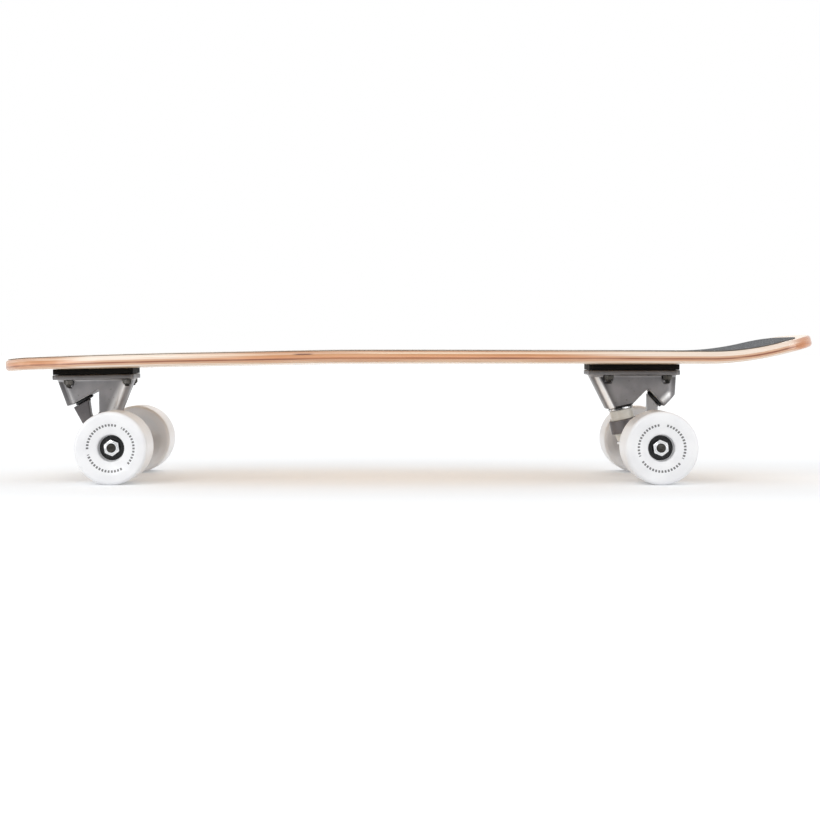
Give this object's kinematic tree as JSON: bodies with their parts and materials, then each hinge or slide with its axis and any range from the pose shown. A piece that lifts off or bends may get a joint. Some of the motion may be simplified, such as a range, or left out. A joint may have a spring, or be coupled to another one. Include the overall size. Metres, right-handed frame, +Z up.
{
  "type": "surf skateboard",
  "caption": "Short wooden skateboard with a kick tail, a steep front truck for surf-like turns, a flatter rear truck and wide soft wheels.",
  "frame": {"origin": "on the ground, under the middle of the deck", "axes": "+X towards the tail, +Y to the rider's left when facing the tail, +Z up"},
  "size_m": [0.7384, 0.2412, 0.1325],
  "materials": {
    "maple": "pressed maple plies, clear satin lacquer",
    "grip": "fine mineral grit on a dark backing",
    "riser": "matte black moulded pad",
    "casting": "satin cast, warm grey",
    "hanger_casting": "satin cast, darker grey",
    "bright_steel": "bright zinc plate",
    "dark_steel": "oiled dark steel",
    "pivot_cup": "matte black urethane",
    "bushing": "pale cast urethane",
    "wheel_urethane": "white cast urethane, satin",
    "bearing_shield": "black rubber shield in a steel ring"
  },
  "bodies": {
    "board": {"deck": "maple", "grip_tape": "grip", "riser_pad_front": "riser", "baseplate_front": "casting", "pivot_cup_front": "pivot_cup", "kingpin_front": "dark_steel", "kingpin_nut_front": "bright_steel", "cup_washer_board_front": "bright_steel", "cup_washer_road_front": "bright_steel", "bushing_board_front": "bushing", "bushing_road_front": "bushing", "mounting_bolt_front_1": "dark_steel", "mounting_bolt_front_2": "dark_steel", "mounting_bolt_front_3": "dark_steel", "mounting_bolt_front_4": "dark_steel", "mounting_nut_front_1": "dark_steel", "mounting_nut_front_2": "dark_steel", "mounting_nut_front_3": "dark_steel", "mounting_nut_front_4": "dark_steel", "riser_pad_rear": "riser", "baseplate_rear": "casting", "pivot_cup_rear": "pivot_cup", "kingpin_rear": "dark_steel", "kingpin_nut_rear": "bright_steel", "cup_washer_board_rear": "bright_steel", "cup_washer_road_rear": "bright_steel", "bushing_board_rear": "bushing", "bushing_road_rear": "bushing", "mounting_bolt_rear_1": "dark_steel", "mounting_bolt_rear_2": "dark_steel", "mounting_bolt_rear_3": "dark_steel", "mounting_bolt_rear_4": "dark_steel", "mounting_nut_rear_1": "dark_steel", "mounting_nut_rear_2": "dark_steel", "mounting_nut_rear_3": "dark_steel", "mounting_nut_rear_4": "dark_steel"},
    "front_hanger": {"hanger_front": "hanger_casting", "axle_front": "dark_steel", "bearing_sleeve_front_near": "bright_steel", "bearing_sleeve_front_far": "bright_steel", "axle_nut_front_near": "bright_steel", "axle_nut_front_far": "bright_steel"},
    "front_near_wheel": {"wheel_front_near": "wheel_urethane", "bearing_outboard_front_near": "bearing_shield", "bearing_inboard_front_near": "bearing_shield"},
    "front_far_wheel": {"wheel_front_far": "wheel_urethane", "bearing_outboard_front_far": "bearing_shield", "bearing_inboard_front_far": "bearing_shield"},
    "rear_hanger": {"hanger_rear": "hanger_casting", "axle_rear": "dark_steel", "bearing_sleeve_rear_near": "bright_steel", "bearing_sleeve_rear_far": "bright_steel", "axle_nut_rear_near": "bright_steel", "axle_nut_rear_far": "bright_steel"},
    "rear_near_wheel": {"wheel_rear_near": "wheel_urethane", "bearing_outboard_rear_near": "bearing_shield", "bearing_inboard_rear_near": "bearing_shield"},
    "rear_far_wheel": {"wheel_rear_far": "wheel_urethane", "bearing_outboard_rear_far": "bearing_shield", "bearing_inboard_rear_far": "bearing_shield"}
  },
  "joints": [
    {"name": "front_hanger_tilt", "type": "hinge", "parent": "board", "child": "front_hanger", "pos_m": [-0.29854, 0, 0.07273], "axis": [-0.4876, 0, 0.873], "range_deg": [-20, 20], "stiffness_Nm_per_rad": 40, "deforming": ["bushing_board_front", "bushing_road_front"]},
    {"name": "front_near_wheel_spin", "type": "hinge", "parent": "front_hanger", "child": "front_near_wheel", "pos_m": [-0.25825, -0.089, 0.03222], "axis": [0, 1, 0], "continuous": true},
    {"name": "front_far_wheel_spin", "type": "hinge", "parent": "front_hanger", "child": "front_far_wheel", "pos_m": [-0.25825, 0.089, 0.03222], "axis": [0, 1, 0], "continuous": true},
    {"name": "rear_hanger_tilt", "type": "hinge", "parent": "board", "child": "rear_hanger", "pos_m": [0.23205, 0, 0.07342], "axis": [0.7482, 0, 0.6634], "range_deg": [-16, 16], "stiffness_Nm_per_rad": 40, "deforming": ["bushing_board_rear", "bushing_road_rear"]},
    {"name": "rear_near_wheel_spin", "type": "hinge", "parent": "rear_hanger", "child": "rear_near_wheel", "pos_m": [0.22375, -0.089, 0.03222], "axis": [0, 1, 0], "continuous": true},
    {"name": "rear_far_wheel_spin", "type": "hinge", "parent": "rear_hanger", "child": "rear_far_wheel", "pos_m": [0.22375, 0.089, 0.03222], "axis": [0, 1, 0], "continuous": true}
  ]
}
